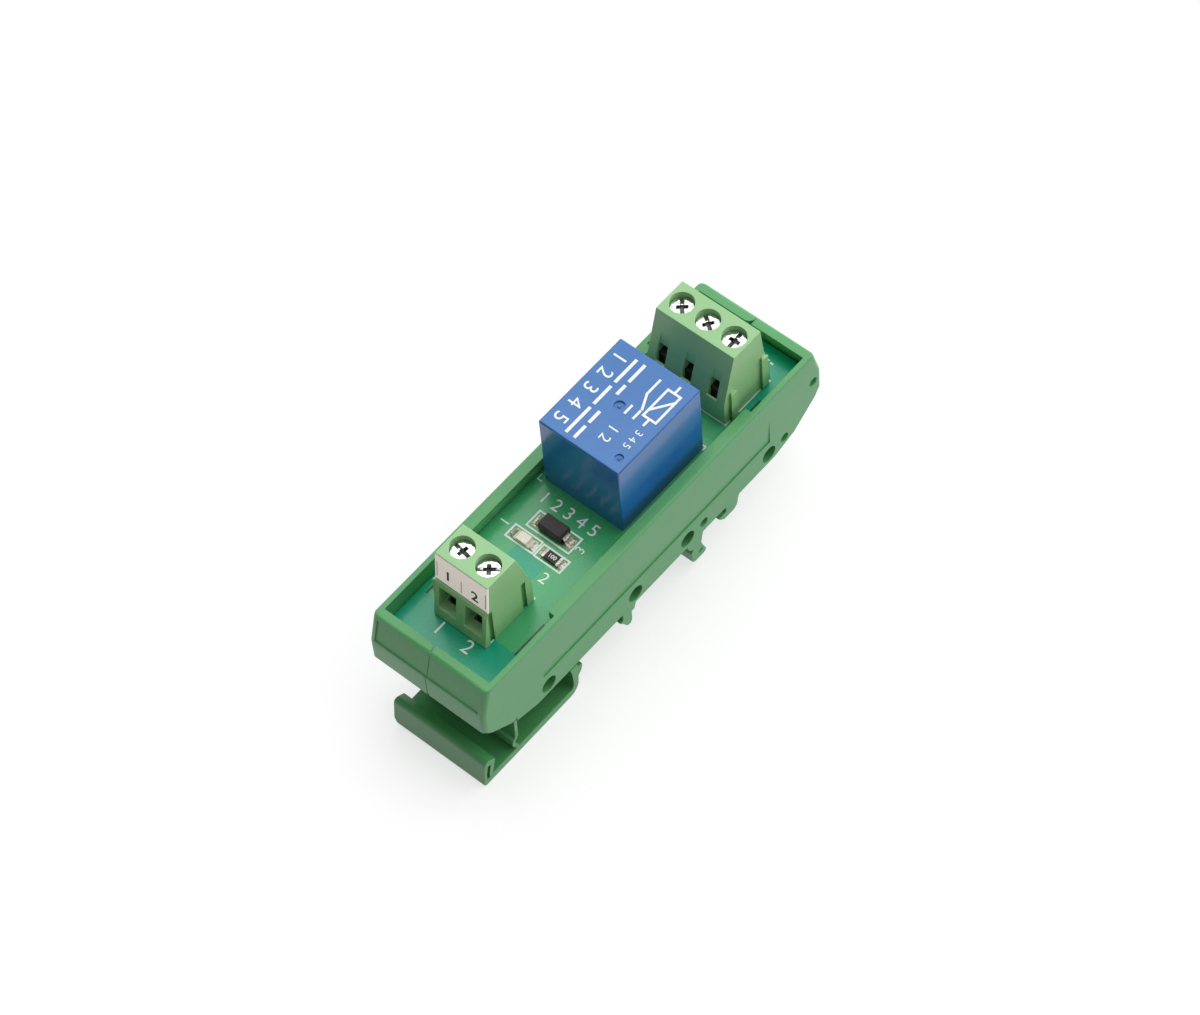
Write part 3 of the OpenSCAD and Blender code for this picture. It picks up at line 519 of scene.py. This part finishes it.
# Relay print
# Plain white numbers and the signs of a coil and a change-over contact, set
# along the top of the case.
case_top = 0.0355
case_ink = []
bar_width, sign_width = 0.00055, 0.0004
for number, y in enumerate((0.0141, 0.0107, 0.0073, 0.0039, 0.0005), 1):
    ink_figures(case_ink, str(number), -0.0061, y, 0.0035, -90, case_top)
for x, y0, y1 in (
        (-0.0037, 0.0105, 0.0151),
        (-0.0037, 0.0056, 0.0091),
        (-0.0037, -0.0008, 0.0043),
        (-0.0021, 0.0118, 0.0151),
        (-0.0021, 0.009, 0.0105),
        (-0.0021, 0.0026, 0.0046),
        (-0.0021, -0.0008, 0.0013)):
    ink_line(case_ink, x, y0, x, y1, bar_width, case_top)
ink_frame(case_ink, 0.0034, 0.0058, 0.0083, 0.0141, sign_width, case_top)
for ends in (
        (0.0034, 0.0095, 0.0058, 0.0129),
        (0.0046, 0.0141, 0.0046, 0.0154),
        (0.0046, 0.007, 0.0046, 0.0083),
        (0.0014, 0.0146, 0.0014, 0.0116),
        (0.0014, 0.0116, 0.0026, 0.009),
        (0.001, 0.0085, 0.001, 0.007),
        (0.0026, 0.0085, 0.0026, 0.007)):
    ink_line(case_ink, *ends, sign_width, case_top)
for figures, x, y, size in (("1 2", 0.0014, 0.0027, 0.0026), ("3 4 5", 0.0049, 0.004, 0.0018)):
    ink_figures(case_ink, figures, x, y, size, -90, case_top)
ink_together(case_ink, "relay_print", ink_white)


# Relay mechanism
# Base plate, coil former, coil, iron core and yoke, armature and contacts,
# closed in under the case.
def grained(name, dark, pale, size, roughness, spread, depth, strength, detail=3,
        stretch=(1, 1, 1), **constants):
    """A finish with one grain, which shades its colour, its gloss and its
    relief."""
    finish = Finish(name, **constants)
    grain = finish.noise(size, detail, stretch)
    finish.wear(base_color=finish.blend(grain, dark, pale), roughness=roughness + grain * spread,
        normal=finish.bump(grain, depth, strength))
    return finish


dark_plastic = grained("dark_plastic", paint(28, 26, 28), paint(44, 41, 43),
    size=0.0003, roughness=0.5, spread=0.15, depth=0.00001, strength=0.6)
dress(dark_plastic, "relay_base")

cream_plastic = grained("cream_plastic", paint(214, 205, 180), paint(232, 226, 206),
    size=0.0005, roughness=0.45, spread=0.1, depth=0.00001, strength=0.4, detail=2)
dress(cream_plastic, "relay_bobbin")

copper_wire = Finish("copper_wire", metallic=0.85)
turns = copper_wire.add("ShaderNodeTexWave",
    {"wave_type": "BANDS", "bands_direction": "Z", "wave_profile": "SIN"},
    {"Vector": copper_wire.place, "Scale": 2400.0})
copper_wire.wear(base_color=copper_wire.blend(turns, paint(120, 52, 22), paint(196, 106, 52)),
    roughness=0.3 + turns * 0.1, normal=copper_wire.bump(turns, depth=0.00004))
dress(copper_wire, "relay_winding")

plated_steel = grained("plated_steel", paint(168, 168, 166), paint(196, 196, 194),
    size=0.0004, roughness=0.3, spread=0.15, depth=0.000008, strength=0.5,
    stretch=(1, 1, 0.2), metallic=1.0)
dress(plated_steel, "relay_core", "relay_yoke", "relay_armature", "relay_coil_pins")

contact_brass = grained("contact_brass", paint(186, 140, 70), paint(214, 172, 96),
    size=0.0004, roughness=0.28, spread=0.15, depth=0.000008, strength=0.5,
    stretch=(0.3, 1, 1), metallic=1.0)
dress(contact_brass, "relay_contact_spring", "relay_upper_contact", "relay_lower_contact")

# Terminal housings
# Green polyamide blocks, a little yellower than the carrier, with a screw
# well, a clamp chamber and a wire funnel for each wire. Their round edges are
# painted a paler green as a highlight.
block_corner = 0.0001
terminal_green = moulded_green("terminal_green", paint(148, 200, 138), paint(166, 216, 156), 0.36)
# painted highlight: the round edges of the blocks are a paler green than the faces
terminal_edge_painted_highlight = moulded_green("terminal_edge_painted_highlight", paint(164, 212, 154), paint(182, 226, 172), 0.3)
for node in ("input_terminal_housing", "output_terminal_housing"):
    housing = rounded_copy(node, node + "_moulding", block_corner, terminal_green, terminal_edge_painted_highlight)
    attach(housing, "carrier")
    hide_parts(node)

# Contact bars and box clamps
# Tinned copper bars, bent down to the tails, and zinc plated steel boxes that
# rise under them as the screws turn. The bars are painted a dark grey, as
# shade in the clamp chambers.
clamp_corner = 0.0001
# painted shade: the tinned bars are a dark grey metal, far darker than tin, so that the chambers
# they sit in look shaded
tinned_copper = grained("tinned_copper", paint(88, 80, 70), paint(120, 112, 100),
    size=0.0004, roughness=0.45, spread=0.15, depth=0.000008, strength=0.5,
    stretch=(1, 0.3, 0.3), metallic=1.0)
dress(tinned_copper, "input_contact_bars", "output_contact_bars")
poles = (("input", 1), ("input", 2), ("output", 1), ("output", 2), ("output", 3))
for block, pole in poles:
    node = f"{block}_clamp_{pole}"
    clamp = rounded_copy(node, node + "_box", clamp_corner, plated_steel)
    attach(clamp, node)
    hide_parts(node)

# Terminal screws
# Bright nickel plated screws with a slot and a cross in the head, which turn
# in the roofs of the clamps and stay at one height. The slot and the cross are
# painted dark grey as shade.
screw_corner = 0.00008
head_floor = 0.0324
screw_steel = Finish("screw_steel", metallic=1.0)
streak = screw_steel.noise(0.0005, detail=3)
waves = screw_steel.noise(0.0009)
# painted shade: the screw below the top of its head, in the slot and the cross, is dark grey and
# rougher
recess_shade = 1 - screw_steel.axis("Z").above(head_floor, soft=0.0001)
bright = screw_steel.blend(streak.above(0.5, soft=0.15), paint(188, 190, 190), paint(232, 232, 230))
screw_steel.wear(base_color=screw_steel.blend(recess_shade, bright, paint(104, 106, 104)),
    roughness=0.05 + streak * 0.08 + recess_shade * 0.35,
    normal=screw_steel.bump(waves, depth=0.00006, strength=0.6))
for block, pole in poles:
    node = f"{block}_screw_{pole}"
    screw = rounded_copy(node, node + "_slotted", screw_corner, screw_steel)
    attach(screw, node)
    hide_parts(node)

# Label strip
# Pale printed film let into the sloping face of the two-pole block. It has a
# faint painted glow of its own colour, which makes it look more brightly lit than it is.
# painted glow: the film gives off a faint light of its own colour, though it is no lamp
label_film_painted_glow = Finish("label_film_painted_glow", emission_strength=0.35)
fibre = label_film_painted_glow.noise(0.0002, detail=3)
film_colour = label_film_painted_glow.blend(fibre, paint(230, 216, 206), paint(242, 232, 224))
label_film_painted_glow.wear(base_color=film_colour, emission_color=film_colour, roughness=0.4 + fibre * 0.2)
dress(label_film_painted_glow, "input_label_strip")

rule_width = 0.0001
ink_black = ink("ink_black", paint(22, 22, 24), paint(52, 50, 52), 0.5)
label_ink = []
for ends in (
        (-0.0052, 0.0009, -0.0052, 0.0042),
        (-0.0005, 0.0006, -0.0005, 0.0033),
        (0.0042, 0.0009, 0.0042, 0.0042),
        (-0.0054, 0.0001, 0.0044, 0.0001)):
    ink_line(label_ink, *ends, rule_width, 0)
ink_figures(label_ink, "1", -0.0031, 0.0023, 0.0029, 0, 0, heavy=0.02)
ink_figures(label_ink, "2", 0.0021, 0.0019, 0.0029, 0, 0, heavy=0.02)
ink_together(label_ink, "label_print", ink_black, lean=83.92,
    place=(0, -0.029137, 0.0284))

# Diode, status lamp and resistor
# Small moulded, ceramic and resin parts with tinned ends, soldered flat on
# the board. The resistor has plain figures on its top.
diode_black = grained("diode_black", paint(36, 28, 32), paint(56, 46, 50),
    size=0.00015, roughness=0.45, spread=0.2, depth=0.00001, strength=0.8)
dress(diode_black, "diode_body", "resistor_body")
resistor_top = 0.0206
resistor_ink = []
ink_figures(resistor_ink, "100", 0.0021, -0.01235, 0.001, 0, resistor_top, heavy=0.01)
ink_together(resistor_ink, "resistor_print", ink_white)
dress(solder, "diode_leads", "resistor_caps")
dress(cream_plastic, "lamp_base")
lamp_resin = Finish("lamp_resin", coat_roughness=0.05, coat_weight=0.4)
glow = lamp_resin.noise(0.0004)
lamp_resin.wear(base_color=lamp_resin.blend(glow, paint(230, 214, 190), paint(250, 244, 230)),
    roughness=0.18 + glow * 0.1)
dress(lamp_resin, "lamp_lens")
